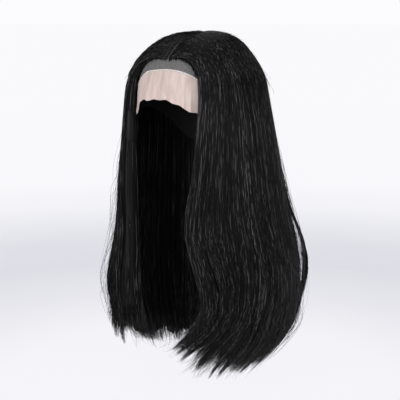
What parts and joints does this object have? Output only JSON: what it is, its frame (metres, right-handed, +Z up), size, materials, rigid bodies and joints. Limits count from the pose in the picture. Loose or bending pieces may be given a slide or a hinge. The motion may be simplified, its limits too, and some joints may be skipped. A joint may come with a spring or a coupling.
{
  "type": "lace closure wig",
  "caption": "Long straight wig with a centre parting: a stretch cap, a lace closure with a bare lace strip over the forehead, and hair in locks that turn in at the ends.",
  "frame": {"origin": "inside of the crown, where the top of the head bears on the cap", "axes": "+Z up, the face looks along -Y, the wearer's left is +X"},
  "size_m": [0.271, 0.2574, 0.4939],
  "materials": {
    "hair": "long straight fibre with a satin sheen along its length",
    "cap_net": "matt stretch net with rows of sewn wefts",
    "closure_lace": "fine lace with dark hair roots tied into it",
    "front_lace": "fine sheer lace, pinkish beige",
    "seam_thread": "off-white stitched tape"
  },
  "bodies": {
    "root": {"cap": "cap_net", "closure_lace": "closure_lace", "lace_seam": "seam_thread", "front_lace": "front_lace", "hair_front_left": "hair", "hair_side_left": "hair", "hair_back": "hair", "hair_side_right": "hair", "hair_front_right": "hair"}
  },
  "joints": []
}
